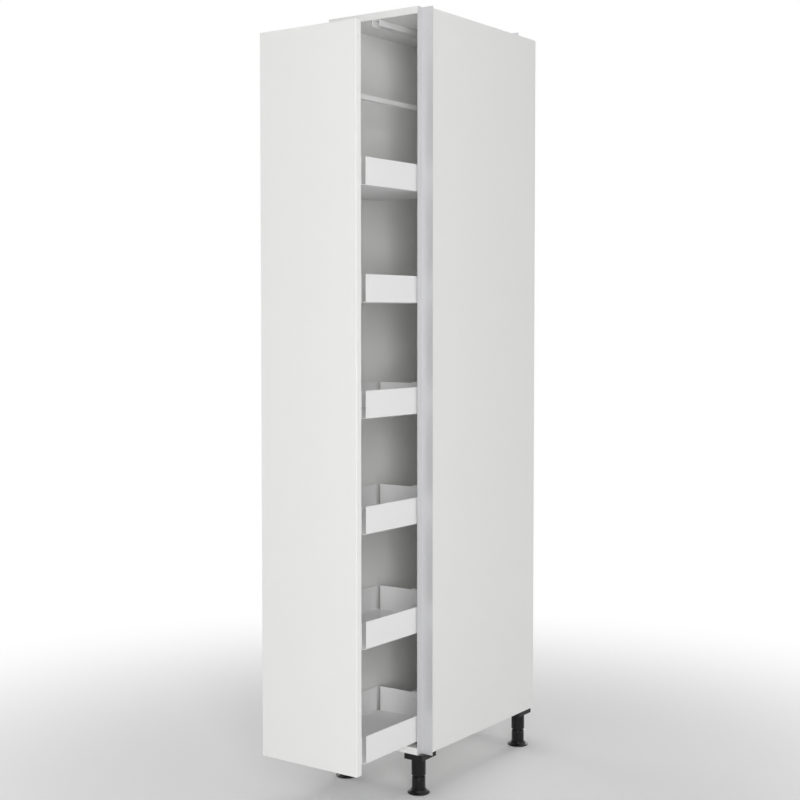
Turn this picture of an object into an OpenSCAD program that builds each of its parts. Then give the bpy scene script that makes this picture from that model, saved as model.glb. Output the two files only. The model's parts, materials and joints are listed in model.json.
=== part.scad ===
// Pull out larder unit: a tall narrow carcass on levelling feet, with a front, a steel frame and
// open trays that draw out together on full extension runners.
// Lengths are in millimetres. The model's origin lies on the floor under the middle of its outline.
// The pieces are laid out from the carcass's own corner point: x = 0 halfway between the side
// boards, y = 0 at their front edges, z = 0 at their lower ends. +Y runs into the cabinet.
// Larder pieces are laid out where they stand when the larder is shut, then drawn out by "pull".

/* [Carcass] */
// Width over both side boards
carcass_w = 300; // [290:1:600]
// Depth from the front edges to the rear edges of the side boards
carcass_d = 560; // [550:1:650]
// Height of the side boards
carcass_h = 1900; // [1500:1:2300]
// Thickness of the side, top and bottom boards
board_t = 18; // [16:1:22]
// Thickness of the back board
back_t = 8; // [4:1:10]
// Distance from the rear edges of the side boards in to the back board
back_inset = 12; // [5:1:15]
// Depth of the grooves that hold the back board
groove_d = 6; // [4:1:8]
// Thickness of the edge bands on the front edges
band_t = 1; // [0.5:0.1:2]
// Diameter of the wooden dowels between the boards
dowel_d = 8; // [6:1:10]
// Length of a dowel
dowel_l = 34; // [26:1:40]
// How far a dowel reaches into a side board
dowel_in_side = 12; // [8:1:13]

/* [Grip profile] */
// Depth of the grip recess behind the front
grip_depth = 22; // [16:1:40]
// How far the profile reaches out past the side board
grip_reach = 15; // [5:1:40]
// Wall of the profile
grip_t = 1.5; // [1.5:0.1:3]

/* [Front] */
// Thickness of the front
door_t = 20; // [18:1:25]
// Distance from each side edge of the front to the carcass's outer face
door_reveal = 1.5; // [0:0.5:4]
// Height of the front's lower edge above the lower ends of the side boards
door_low = 20; // [0:1:28]
// Distance from the front's upper edge down to the upper ends of the side boards
door_drop = 80; // [0:1:150]
// Gap between the shut front and the carcass
door_gap = 2; // [1.5:0.1:4]
// Radius of the front's upright edges
door_edge_r = 1.5; // [0.5:0.1:3]

/* [Larder] */
// How far the larder is drawn out in the model
pull = 255; // [0:1:440]
// Length of a tray along the depth
tray_l = 405; // [300:1:420]
// Height of a tray's walls
tray_h = 68; // [50:1:100]
// Gap between a tray and the side board next to it
tray_side_gap = 4; // [2:0.5:10]
// Sheet thickness of the trays
tray_t = 1.2; // [0.8:0.1:2]
// Outer radius of the bend between a tray's base and wall
tray_bend_r = 2.7; // [2.2:0.1:5]
// Length left open at each end of a tray's wall
tray_corner_gap = 8; // [4:0.5:15]
// Clear height between the top tray's rim and the top bar
bar_clear = 166; // [60:1:200]
// Distance from the top board down to the top bar
bar_drop = 197; // [150:1:300]

/* [Frame] */
// Width of the front and rear posts, across the unit
post_w = 24; // [20:1:40]
// Depth of the posts
post_d = 30; // [24:1:40]
// Wall of the posts and the top bar
tube_t = 1.5; // [1:0.1:2]
// Width of the top bar
bar_w = 15; // [12:1:20]
// Height of the top bar
bar_h = 13; // [10:1:16]
// Thickness of the brackets and end plates
bracket_t = 3; // [2:0.5:4]
// Height of the brackets and end plates
bracket_h = 46; // [42:1:60]
// Thickness of the tray hangers
hanger_t = 2; // [1.5:0.1:2.5]
// Width of a tray hanger
hanger_w = 26; // [24:1:40]
// How far a hanger's legs reach down from the tray's rim
hanger_drop = 40; // [38:1:48]
// Gap between the front post and the trays
front_reach = 5; // [5:0.5:12]
// Gap between the trays and the rear post
rear_reach = 28; // [10:1:30]
// Thickness of the carriage plate
carriage_t = 2; // [1.5:0.1:4]

/* [Runners] */
// Length of a runner, which is also its travel
slide_l = 450; // [400:1:500]
// Width of a runner lying flat
slide_w = 45.6; // [44:0.1:50]
// Height of a runner lying flat
slide_h = 12.7; // [12:0.1:16]
// Sheet thickness of a runner's members
slide_t = 1.2; // [1:0.1:1.5]
// Gap for the balls between two members
ball_gap = 2.6; // [2:0.1:3]
// Distance from the middle of the unit to the middle of a runner
slide_x = 27; // [26:1:40]
// Distance from the front edges to the runners
slide_start = 8; // [4:1:20]

/* [Top guide] */
// Outer width of the guide rail
rail_w = 24; // [22:1:30]
// Height of the guide rail
rail_h = 16; // [15:0.5:20]
// Wall of the guide rail
rail_t = 1.5; // [1:0.1:2]
// Distance from the front edges to the guide rail
rail_inset = 4; // [2:1:8]
// Distance between the two guide rollers' axles
roller_spacing = 32; // [28:1:34]
// Height of a guide roller
roller_h = 10; // [8:0.5:10]
// Diameter of a guide roller's axle
axle_d = 6; // [4:0.5:8]

/* [Feet] */
// Height of the feet under the side boards
leg_h = 107; // [100:1:130]
// Width of a foot plate
plate_w = 56; // [54:1:60]
// Depth of a foot plate
plate_d = 72; // [66:1:90]
// Height of a foot plate
plate_h = 15; // [12:1:20]
// Distance from the carcass's outer face to a foot's axis
foot_in_x = 33; // [30:1:40]
// Distance from the carcass's front and rear edges to a foot's axis
foot_in_y = 29; // [28:1:36]
// Outer diameter of a foot's sleeve
sleeve_d = 37; // [34:1:40]
// Height of the sleeve's lower end above the floor
sleeve_low = 47; // [44:1:60]
// Diameter of the barrel under the sleeve
barrel_d = 35; // [32:1:40]
// Diameter of the foot's disc
disc_d = 58; // [50:1:64]

/* [Wall fixing] */
// Distance from the middle of the unit to a wall bracket
wall_x = 80; // [40:1:100]
// Leg length of a wall bracket
wall_leg = 30; // [28:1:40]
// Diameter of the screw holes to the wall
wall_hole_d = 6; // [4:0.5:8]

/* [Fasteners] */
// Diameter of the screws
screw_d = 4; // [3:0.5:4.5]
// Diameter of the screw heads
head_d = 7.5; // [6:0.5:8]
// Height of the domed screw heads
head_h = 2.2; // [1.6:0.1:2.6]
// Height of the flat screw heads
flat_head_h = 0.8; // [0.6:0.1:1]
// Depth of the sunk screw heads
sunk_head_h = 1.4; // [1:0.1:1.5]
// Length of a screw's shank in wood
wood_bite = 11; // [8:1:11]
// Length of a screw's shank in steel
steel_bite = 5; // [4:0.5:6]

/* [Hidden] */
$fn = 48;

// Cuts run past the faces that they open by this much
over = 1;
// Radial gaps: round a screw, round a plugged-in piece, and round a turning or sliding one
screw_fit = 0.15;
plug_fit = 0.1;
run_fit = 0.3;

LEFT = -1;
RIGHT = 1;
SIDES = [LEFT, RIGHT];
FRONT = -1;
REAR = 1;
ENDS = [FRONT, REAR];

inner_w = carcass_w - 2 * board_t;
inner_top = carcass_h - board_t;
back_y = carcass_d - back_inset - back_t;

grip_right = carcass_w / 2 + grip_reach;
grip_screw_n = 5;
grip_screw_in = 60;
grip_screw_x = carcass_w / 2 - board_t / 2;

door_back = -door_gap;
door_front = door_back - door_t;
door_h = carcass_h - door_low - door_drop;
buffer_d = 8;
buffer_play = 0.2;
buffer_in = 60;

// Runner members nest with room for the balls between their flanges
member_in = slide_t + ball_gap;
middle_w = slide_w - 2 * member_in;
inner_member_w = middle_w - 2 * member_in;
outer_h = slide_h - slide_t - run_fit;
middle_lift = 2.4;
floor_gap = 1;
middle_h = outer_h - middle_lift;
inner_low = middle_lift + slide_t + floor_gap;
inner_member_h = slide_h - inner_low;
cage_h = 5;
cage_l = 190;
slide_top = board_t + slide_h;
slide_screw_in = 40;

carriage_top = slide_top + carriage_t;
carriage_w = 2 * slide_x + slide_w;
carriage_screw_front = 29;
carriage_screw_rear = 52;
screw_tip = 1;

front_post_y = door_back + bracket_t;
front_post_back = front_post_y + post_d;
tray_y = front_post_back + front_reach;
rear_post_y = tray_y + tray_l + rear_reach;
rear_post_back = rear_post_y + post_d;
post_ends = [front_post_y, rear_post_y];

tray_n = 6;
tray_w = inner_w - 2 * tray_side_gap;
bar_z = inner_top - bar_drop - bar_h;
bar_mid = bar_z + bar_h / 2;
tray_pitch = (bar_z - bar_clear - tray_h - carriage_top) / (tray_n - 1);
function tray_z(number) = carriage_top + (tray_n - number) * tray_pitch;
tray_rim = [for (number = [1:tray_n]) tray_z(number) + tray_h];
hanger_bend_r = 3;
hanger_lift = hanger_bend_r - hanger_t;
hanger_screw_drops = [12, 30];
rivet_x = 8;
rivet_drop = 21;
rivet_d = 4;
rivet_head_d = 6;
rivet_back_d = 5;
rivet_head_h = 1;

bar_screw_out = 15;
bar_plate_drop = 4;
front_post_top = bar_mid + bracket_h / 2 + bar_plate_drop;
post_cap_h = 3;
post_cap_plug = 8;

guide_plate_t = 3;
guide_plate_lip = 1;
roller_d = rail_w - 2 * rail_t - 2 * run_fit;
roller_drop = 3;
roller_top = inner_top - rail_t - roller_drop;
roller_low = roller_top - roller_h;
axle_collar_h = 9;
axle_collar_step = 2;
axle_head_h = 0.8;
axle_head_step = 1.5;
guide_plate_top = roller_low - run_fit - axle_collar_h;
rear_post_top = guide_plate_top - guide_plate_t;
guide_plug_h = 30;
guide_set_back = 4;
guide_mid_y = rear_post_y + post_d / 2 + guide_set_back;
axle_y = [guide_mid_y - roller_spacing / 2, guide_mid_y + roller_spacing / 2];
guide_end = 10;
rail_back_gap = 10;
rail_screw_in = 40;

angle_h = 40;
angle_inset = 3;
angle_edge = 15;
angle_screw_z = 28;

door_bracket_w = 220;
door_bracket_in = 150;
door_screw_x = 95;
door_screw_z = 15;
ear_l = 25;
door_bracket_z = [door_low + door_bracket_in, door_low + door_h / 2, door_low + door_h - door_bracket_in];

foot_x = carcass_w / 2 - foot_in_x;
function foot_y(end) = end == FRONT ? foot_in_y : carcass_d - foot_in_y;
function plate_y(end) = end == FRONT ? plate_d / 2 : carcass_d - plate_d / 2;
plate_wall = 3;
plate_top_t = 4;
plate_corner_r = 6;
plate_rib_t = 2;
boss_wall = 4;
plate_screw_in = 8;
sleeve_wall = 3;
sleeve_bottom = sleeve_low - leg_h;
sleeve_h = -plate_top_t - sleeve_bottom;
spindle_d = sleeve_d - 2 * sleeve_wall - 2 * run_fit;
spindle_in = 35;
sleeve_play = 3.5;
barrel_top = sleeve_bottom - sleeve_play;
barrel_chamfer = 2.5;
disc_edge_h = 6;
disc_flare_h = 9;
disc_step = 2;

wall_bracket_w = 30;
wall_bracket_t = 2.5;
wall_hole_up = 18;
wall_screw_in = 11.5;
wall_bite_clear = 2;
wall_bite = board_t - groove_d - wall_bite_clear;

dowel_clear = 18;
dowel_edge = plate_d + dowel_clear;

frame_x = grip_reach / 2;
frame_y = (carcass_d + door_front - pull) / 2;

// n values at equal steps from first to last
function spread(first, last, n) = [for (i = [0:n - 1]) first + i * (last - first) / (n - 1)];

// Moves a carcass piece into the unit's own frame
module in_frame() translate([-frame_x, -frame_y, leg_h]) children();

// Moves a larder piece out with the larder, by the share of the way that it goes
module drawn_out(share = 1) in_frame() translate([0, -pull * share, 0]) children();

// Turns a piece that points up to point along the given axis
module facing(side) rotate([0, 90 * side, 0]) children();
module facing_front() rotate([90, 0, 0]) children();
module facing_back() rotate([-90, 0, 0]) children();
module facing_down() rotate([180, 0, 0]) children();

// Extrudes an outline drawn in X and Z along +Y
module along_y(length) translate([0, length, 0]) facing_front() linear_extrude(length) children();

// Rectangle with round corners, centred
module rounded(w, d, r) {
    square([w - 2 * r, d], center = true);
    square([w, d - 2 * r], center = true);
    for (x = [r - w / 2, w / 2 - r], y = [r - d / 2, d / 2 - r]) translate([x, y]) circle(r);
}

// Screw with a domed head, pointing down, its head seated at z = 0
module dome_screw(bite) {
    difference() {
        cylinder(d = head_d, h = head_h);
        translate([0, 0, head_h / 2]) cylinder(d = head_d / 2, h = head_h, $fn = 6);
    }
    translate([0, 0, -bite]) cylinder(d = screw_d, h = bite + head_h / 4);
}

// Screw with a thin flat head, pointing down, its head seated at z = 0
module flat_screw(bite) {
    cylinder(d = head_d, h = flat_head_h);
    translate([0, 0, -bite]) cylinder(d = screw_d, h = bite + flat_head_h / 2);
}

// Screw with a sunk head, pointing down, its head flush at z = 0
module sunk_screw(bite) {
    translate([0, 0, -sunk_head_h]) cylinder(d1 = screw_d, d2 = head_d, h = sunk_head_h);
    translate([0, 0, -bite]) cylinder(d = screw_d, h = bite - sunk_head_h / 2);
}

// Hole for the shank of a screw that bites that deep
module screw_hole(bite) translate([0, 0, -bite - screw_fit])
    cylinder(d = screw_d + 2 * screw_fit, h = bite + over);

// Hole for a rivet through a hanger and a tray's wall
module rivet_hole() translate([0, 0, -hanger_t - tray_t - over])
    cylinder(d = rivet_d + 2 * plug_fit, h = hanger_t + tray_t + 2 * over);

// Hole for a sunk screw
module sunk_hole(bite) {
    screw_hole(bite);
    translate([0, 0, -sunk_head_h])
        cylinder(d1 = screw_d + 2 * screw_fit, d2 = head_d + 2 * screw_fit, h = sunk_head_h);
    cylinder(d = head_d + 2 * screw_fit, h = over);
}

// Places along the unit, each with its +Z where the screw's head faces

module at_dowels() {
    for (side = SIDES, z = [board_t / 2, carcass_h - board_t / 2])
        for (y = spread(dowel_edge, carcass_d - dowel_edge, 3))
            translate([side * inner_w / 2, y, z]) facing(side) children();
}

module at_grip_screws() {
    for (z = spread(grip_screw_in, carcass_h - grip_screw_in, grip_screw_n))
        translate([grip_screw_x, grip_depth - grip_t, z]) facing_front() children();
}

module at_wall_bracket_screws() {
    y = carcass_d - wall_leg + wall_screw_in;
    for (side = SIDES, x = [-wall_bracket_w / 4, wall_bracket_w / 4])
        translate([side * wall_x + x, y, carcass_h + wall_bracket_t]) children();
}

module at_rail_screws() {
    for (y = spread(rail_inset + rail_screw_in, back_y - rail_back_gap - rail_screw_in, 4))
        translate([0, y, inner_top - rail_t]) facing_down() children();
}

module at_slide_screws() {
    for (side = SIDES, y = spread(slide_start + slide_screw_in, slide_start + slide_l - slide_screw_in, 3))
        translate([side * slide_x, y, board_t + slide_t]) children();
}

module at_carriage_screws() {
    first = front_post_back + carriage_screw_front;
    last = min(slide_start + slide_l, rear_post_y) - carriage_screw_rear;
    for (side = SIDES, y = spread(first, last, 3)) translate([side * slide_x, y, carriage_top]) children();
}

// The outer front corner of the right front plate lies under the grip recess, where no board takes a screw
module at_plate_screws(side, end) {
    for (x = SIDES, y = ENDS)
        if (!(side == RIGHT && end == FRONT && x == RIGHT && y == FRONT))
            translate([side * foot_x, plate_y(end), -plate_top_t])
                translate([x * (plate_w / 2 - plate_screw_in), y * (plate_d / 2 - plate_screw_in), 0])
                    facing_down() children();
}

module at_feet() for (side = SIDES, end = ENDS) at_plate_screws(side, end) children();

module at_angle_base_screws() {
    for (side = SIDES, y = post_ends)
        translate([side * slide_x, y + post_d / 2, carriage_top + bracket_t]) children();
}

module at_angle_post_screws() {
    for (side = SIDES, y = post_ends)
        translate([side * (post_w / 2 + bracket_t), y + post_d / 2, carriage_top + angle_screw_z])
            facing(side) children();
}

module at_ear_screws() {
    for (side = SIDES, z = door_bracket_z)
        translate([side * (post_w / 2 + bracket_t), front_post_y + post_d / 2, z]) facing(side) children();
}

module at_door_screws() {
    for (side = SIDES, z = door_bracket_z, dz = [-door_screw_z, door_screw_z])
        translate([side * door_screw_x, front_post_y, z + dz]) facing_back() children();
}

module at_front_hanger_screws() {
    for (rim = tray_rim, drop = hanger_screw_drops)
        translate([0, front_post_back + hanger_t, rim - drop]) facing_back() children();
}

module at_rear_hanger_screws() {
    for (rim = tray_rim, drop = hanger_screw_drops)
        translate([0, rear_post_y - hanger_t, rim - drop]) facing_front() children();
}

module at_front_bar_screws() {
    for (out = [-bar_screw_out, bar_screw_out])
        translate([0, front_post_back + bracket_t, bar_mid + out]) facing_back() children();
}

module at_rear_bar_screws() {
    for (out = [-bar_screw_out, bar_screw_out])
        translate([0, rear_post_y - bracket_t, bar_mid + out]) facing_front() children();
}

// Rivets through a tray's wall and its hanger, the head on the inside of the tray
module at_tray_rivets() {
    for (rim = tray_rim, x = [-rivet_x, rivet_x]) {
        translate([x, tray_y + tray_t + hanger_t, rim - rivet_drop]) facing_back() children();
        translate([x, tray_y + tray_l - tray_t - hanger_t, rim - rivet_drop]) facing_front() children();
    }
}

// Carcass

module dowel_holes() at_dowels() translate([0, 0, dowel_in_side - dowel_l - run_fit])
    cylinder(d = dowel_d + 2 * plug_fit, h = dowel_l + 2 * run_fit);

// Groove round the inside of the carcass for the back board
module back_groove() {
    w = inner_w + 2 * groove_d;
    h = inner_top - board_t + 2 * groove_d;
    translate([-w / 2, back_y - plug_fit, board_t - groove_d]) cube([w, back_t + 2 * plug_fit, h]);
}

module side_board(side, front) {
    difference() {
        translate([side * (inner_w + board_t) / 2 - board_t / 2, front + band_t, 0])
            cube([board_t, carcass_d - front - band_t, carcass_h]);
        back_groove();
        dowel_holes();
        at_feet() screw_hole(plate_top_t + wood_bite);
        at_grip_screws() screw_hole(grip_t + wood_bite);
    }
}

module side_left() color("white") in_frame() side_board(LEFT, 0);

module side_right() color("white") in_frame() side_board(RIGHT, grip_depth);

module level_board(z) translate([-inner_w / 2, band_t, z]) cube([inner_w, carcass_d - band_t, board_t]);

module top_board() color("white") in_frame() difference() {
    level_board(inner_top);
    back_groove();
    dowel_holes();
    at_rail_screws() screw_hole(rail_t + wood_bite);
    at_wall_bracket_screws() screw_hole(wall_bracket_t + wall_bite);
}

module bottom_board() color("white") in_frame() difference() {
    level_board(0);
    back_groove();
    dowel_holes();
    at_slide_screws() screw_hole(slide_t + wood_bite);
    at_feet() screw_hole(plate_top_t + wood_bite);
}

module back_board() color("white") in_frame() {
    w = inner_w + 2 * (groove_d - run_fit);
    h = inner_top - board_t + 2 * (groove_d - run_fit);
    translate([-w / 2, back_y, board_t - groove_d + run_fit]) cube([w, back_t, h]);
}

module edge_bands() color("white") in_frame() {
    translate([-carcass_w / 2, 0, 0]) cube([board_t, band_t, carcass_h]);
    difference() {
        translate([inner_w / 2, grip_depth, 0]) cube([board_t, band_t, carcass_h]);
        at_grip_screws() screw_hole(grip_t + wood_bite);
    }
    for (z = [0, inner_top]) translate([plug_fit - inner_w / 2, 0, z])
        cube([inner_w - 2 * plug_fit, band_t, board_t]);
}

module board_dowels() color("burlywood") in_frame() at_dowels()
    translate([0, 0, dowel_in_side - dowel_l]) cylinder(d = dowel_d, h = dowel_l);

// L-shaped profile: one leg lines the grip recess, the other covers the side board's edge
module grip_profile() color("silver") in_frame() difference() {
    linear_extrude(carcass_h) translate([inner_w / 2, 0]) {
        square([grip_t, grip_depth]);
        translate([0, grip_depth - grip_t]) square([grip_right - inner_w / 2, grip_t]);
    }
    at_grip_screws() sunk_hole(grip_t + wood_bite);
}

module grip_screws() color("silver") in_frame() at_grip_screws() sunk_screw(grip_t + wood_bite);

module wall_brackets() color("gainsboro") in_frame() difference() {
    for (side = SIDES) translate([side * wall_x - wall_bracket_w / 2, 0, carcass_h]) {
        translate([0, carcass_d - wall_leg, 0]) cube([wall_bracket_w, wall_leg, wall_bracket_t]);
        translate([0, carcass_d - wall_bracket_t, 0]) cube([wall_bracket_w, wall_bracket_t, wall_leg]);
    }
    at_wall_bracket_screws() screw_hole(wall_bracket_t + wall_bite);
    for (side = SIDES) translate([side * wall_x, carcass_d + over, carcass_h + wall_hole_up])
        facing_front() cylinder(d = wall_hole_d, h = wall_bracket_t + 2 * over);
}

module wall_bracket_screws() color("silver") in_frame() at_wall_bracket_screws()
    dome_screw(wall_bracket_t + wall_bite);

// Top guide rail, open downwards

module guide_rail() color("gainsboro") in_frame() difference() {
    translate([0, rail_inset, 0]) along_y(back_y - rail_back_gap - rail_inset) difference() {
        translate([-rail_w / 2, inner_top - rail_h]) square([rail_w, rail_h]);
        translate([rail_t - rail_w / 2, inner_top - rail_h - over])
            square([rail_w - 2 * rail_t, rail_h - rail_t + over]);
    }
    at_rail_screws() screw_hole(rail_t + wood_bite);
}

module guide_rail_screws() color("silver") in_frame() at_rail_screws() flat_screw(rail_t + wood_bite);

// Runners

// U-shaped member of a runner, open upwards, its underside at z = 0
module member(w, h) along_y(slide_l) difference() {
    translate([-w / 2, 0]) square([w, h]);
    translate([slide_t - w / 2, slide_t]) square([w - 2 * slide_t, h]);
}

module slide_outer(side) in_frame() difference() {
    translate([side * slide_x, slide_start, board_t]) member(slide_w, outer_h);
    at_slide_screws() screw_hole(slide_t + wood_bite);
}

module slide_outer_left() color("silver") slide_outer(LEFT);

module slide_outer_right() color("silver") slide_outer(RIGHT);

module slide_screws() color("silver") in_frame() at_slide_screws() flat_screw(slide_t + wood_bite);

module slide_middle(side) drawn_out(1 / 2)
    translate([side * slide_x, slide_start, board_t + middle_lift]) member(middle_w, middle_h);

module slide_middle_left() color("silver") slide_middle(LEFT);

module slide_middle_right() color("silver") slide_middle(RIGHT);

// Ball cages run in the gap outside a member of width w
module ball_cages(w) {
    cage_w = ball_gap - 2 * run_fit;
    y = slide_start + (slide_l - cage_l) / 2;
    for (side = SIDES, gap = [-(w + ball_gap) / 2, (w + ball_gap) / 2])
        translate([side * slide_x + gap - cage_w / 2, y, board_t + inner_low]) cube([cage_w, cage_l, cage_h]);
}

module ball_cages_outer() color("darkgray") drawn_out(1 / 4) ball_cages(middle_w);

module ball_cages_inner() color("darkgray") drawn_out(3 / 4) ball_cages(inner_member_w);

module slide_inner(side) drawn_out() difference() {
    translate([side * slide_x, slide_start, slide_top]) mirror([0, 0, 1])
        member(inner_member_w, inner_member_h);
    at_carriage_screws() screw_hole(carriage_t + steel_bite);
    at_angle_base_screws() screw_hole(bracket_t + carriage_t + steel_bite);
}

module slide_inner_left() color("silver") slide_inner(LEFT);

module slide_inner_right() color("silver") slide_inner(RIGHT);

// Feet

module foot_plate(side, end) color("#262324") in_frame() difference() {
    translate([side * foot_x, 0, -plate_h]) {
        translate([0, plate_y(end), 0]) difference() {
            linear_extrude(plate_h) rounded(plate_w, plate_d, plate_corner_r);
            translate([0, 0, -over]) linear_extrude(plate_h - plate_top_t + over)
                rounded(plate_w - 2 * plate_wall, plate_d - 2 * plate_wall, plate_corner_r - plate_wall);
        }
        difference() {
            union() {
                translate([0, foot_y(end), 0]) cylinder(d = sleeve_d + 2 * boss_wall, h = plate_h);
                translate([-(plate_w - plate_wall) / 2, foot_y(end) - plate_rib_t / 2, 0])
                    cube([plate_w - plate_wall, plate_rib_t, plate_h]);
                translate([-plate_rib_t / 2, plate_y(end) - (plate_d - plate_wall) / 2, 0])
                    cube([plate_rib_t, plate_d - plate_wall, plate_h]);
            }
            translate([0, foot_y(end), -over])
                cylinder(d = sleeve_d + 2 * plug_fit, h = plate_h - plate_top_t + over);
        }
    }
    at_plate_screws(side, end) screw_hole(plate_top_t + wood_bite);
}

module foot_plate_front_left() foot_plate(LEFT, FRONT);

module foot_plate_front_right() foot_plate(RIGHT, FRONT);

module foot_plate_rear_left() foot_plate(LEFT, REAR);

module foot_plate_rear_right() foot_plate(RIGHT, REAR);

module foot_plate_screws() color("silver") in_frame() at_feet() flat_screw(plate_top_t + wood_bite);

module foot_sleeve(side, end) color("#262324") in_frame()
    translate([side * foot_x, foot_y(end), sleeve_bottom]) difference() {
        cylinder(d = sleeve_d, h = sleeve_h);
        translate([0, 0, -over]) cylinder(d = sleeve_d - 2 * sleeve_wall, h = sleeve_h + 2 * over);
    }

module foot_sleeve_front_left() foot_sleeve(LEFT, FRONT);

module foot_sleeve_front_right() foot_sleeve(RIGHT, FRONT);

module foot_sleeve_rear_left() foot_sleeve(LEFT, REAR);

module foot_sleeve_rear_right() foot_sleeve(RIGHT, REAR);

// Spindle, barrel and disc are one turned shape
module screw_foot(side, end) color("#262324") in_frame()
    translate([side * foot_x, foot_y(end), 0]) rotate_extrude() polygon([
        [0, -leg_h],
        [disc_d / 2, -leg_h],
        [disc_d / 2, disc_edge_h - leg_h],
        [barrel_d / 2 + disc_step, disc_edge_h + disc_flare_h - leg_h],
        [barrel_d / 2, disc_edge_h + disc_flare_h - leg_h],
        [barrel_d / 2, barrel_top - barrel_chamfer],
        [barrel_d / 2 - barrel_chamfer, barrel_top],
        [spindle_d / 2, barrel_top],
        [spindle_d / 2, sleeve_bottom + spindle_in],
        [0, sleeve_bottom + spindle_in]
    ]);

module screw_foot_front_left() screw_foot(LEFT, FRONT);

module screw_foot_front_right() screw_foot(RIGHT, FRONT);

module screw_foot_rear_left() screw_foot(LEFT, REAR);

module screw_foot_rear_right() screw_foot(RIGHT, REAR);

// Frame that carries the trays

module carriage_plate() color("whitesmoke") drawn_out() difference() {
    translate([-carriage_w / 2, front_post_y, slide_top])
        cube([carriage_w, rear_post_back - front_post_y, carriage_t]);
    at_carriage_screws() sunk_hole(carriage_t + steel_bite);
    at_angle_base_screws() screw_hole(bracket_t + carriage_t + steel_bite);
}

module carriage_screws() color("silver") drawn_out() at_carriage_screws()
    sunk_screw(carriage_t + slide_t + screw_tip);

// Rectangular tube that stands on the carriage plate
module post(y, top) difference() {
    translate([-post_w / 2, y, carriage_top]) cube([post_w, post_d, top - carriage_top]);
    translate([tube_t - post_w / 2, y + tube_t, carriage_top - over])
        cube([post_w - 2 * tube_t, post_d - 2 * tube_t, top - carriage_top + 2 * over]);
    at_angle_post_screws() screw_hole(bracket_t + steel_bite);
}

module front_post() color("whitesmoke") drawn_out() difference() {
    post(front_post_y, front_post_top);
    at_ear_screws() screw_hole(bracket_t + steel_bite);
    at_front_hanger_screws() screw_hole(hanger_t + steel_bite);
    at_front_bar_screws() screw_hole(bracket_t + steel_bite);
}

module rear_post() color("whitesmoke") drawn_out() difference() {
    post(rear_post_y, rear_post_top);
    at_rear_hanger_screws() screw_hole(hanger_t + steel_bite);
    at_rear_bar_screws() screw_hole(bracket_t + steel_bite);
}

// Outline of a plug that fits into a post
module post_plug() rounded(post_w - 2 * tube_t - 2 * plug_fit, post_d - 2 * tube_t - 2 * plug_fit, tube_t);

module front_post_cap() color("whitesmoke") drawn_out()
    translate([0, front_post_y + post_d / 2, front_post_top]) {
        linear_extrude(post_cap_h) rounded(post_w, post_d, tube_t);
        translate([0, 0, -post_cap_plug]) linear_extrude(post_cap_plug + over) post_plug();
    }

// Angle brackets beside the posts' feet
module post_brackets() color("whitesmoke") drawn_out() difference() {
    w = slide_x + angle_edge - post_w / 2;
    for (side = SIDES, y = post_ends) translate([side * post_w / 2, y + angle_inset, carriage_top]) {
        translate([(side - 1) * w / 2, 0, 0]) cube([w, post_d - 2 * angle_inset, bracket_t]);
        translate([(side - 1) * bracket_t / 2, 0, 0]) cube([bracket_t, post_d - 2 * angle_inset, angle_h]);
    }
    at_angle_base_screws() screw_hole(bracket_t + carriage_t + steel_bite);
    at_angle_post_screws() screw_hole(bracket_t + steel_bite);
}

// Tube with an end plate at each post
module top_bar() color("whitesmoke") drawn_out() {
    gap = rear_post_y - front_post_back;
    translate([0, front_post_back, 0]) along_y(gap) translate([0, bar_mid]) difference() {
        square([bar_w, bar_h], center = true);
        square([bar_w - 2 * tube_t, bar_h - 2 * tube_t], center = true);
    }
    difference() {
        for (y = [front_post_back, rear_post_y - bracket_t])
            translate([-post_w / 2, y, bar_mid - bracket_h / 2]) cube([post_w, bracket_t, bracket_h]);
        at_front_bar_screws() screw_hole(bracket_t + steel_bite);
        at_rear_bar_screws() screw_hole(bracket_t + steel_bite);
    }
}

module frame_screws() color("silver") drawn_out() {
    at_angle_base_screws() dome_screw(bracket_t + carriage_t + slide_t + screw_tip);
    at_angle_post_screws() dome_screw(bracket_t + steel_bite);
    at_front_bar_screws() dome_screw(bracket_t + steel_bite);
    at_rear_bar_screws() dome_screw(bracket_t + steel_bite);
}

// Top guide: a plate plugged into the rear post, with two axles and their rollers

module guide_carriage() color("white") drawn_out() difference() {
    union() {
        translate([0, guide_mid_y, rear_post_top]) linear_extrude(guide_plate_t)
            rounded(post_w + 2 * guide_plate_lip, roller_spacing + 2 * guide_end, tube_t);
        translate([0, rear_post_y + post_d / 2, rear_post_top - guide_plug_h])
            linear_extrude(guide_plug_h + over) post_plug();
    }
    for (y = axle_y) translate([0, y, rear_post_top + over])
        cylinder(d = axle_d + 2 * plug_fit, h = guide_plate_t + over);
}

// Stepped pins with a thin head over the roller
module guide_axles() color("silver") drawn_out() for (y = axle_y) translate([0, y, 0]) {
    low = rear_post_top + over;
    translate([0, 0, low]) cylinder(d = axle_d, h = roller_top + run_fit - low);
    translate([0, 0, guide_plate_top]) cylinder(d = axle_d + 2 * axle_collar_step, h = axle_collar_h);
    translate([0, 0, roller_top + run_fit]) cylinder(d = axle_d + 2 * axle_head_step, h = axle_head_h);
}

module guide_roller(y) color("white") drawn_out() translate([0, y, roller_low]) difference() {
    cylinder(d = roller_d, h = roller_h);
    translate([0, 0, -over]) cylinder(d = axle_d + 2 * plug_fit, h = roller_h + 2 * over);
}

module guide_roller_front() guide_roller(axle_y[0]);

module guide_roller_rear() guide_roller(axle_y[1]);

// Trays, numbered from the top

// One wall with its bend, along +Y, on the left edge of the base
module tray_wall(length) along_y(length) {
    translate([0, tray_bend_r]) square([tray_t, tray_h - tray_bend_r]);
    intersection() {
        square(tray_bend_r);
        translate([tray_bend_r, tray_bend_r]) difference() {
            circle(tray_bend_r);
            circle(tray_bend_r - tray_t);
        }
    }
}

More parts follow.
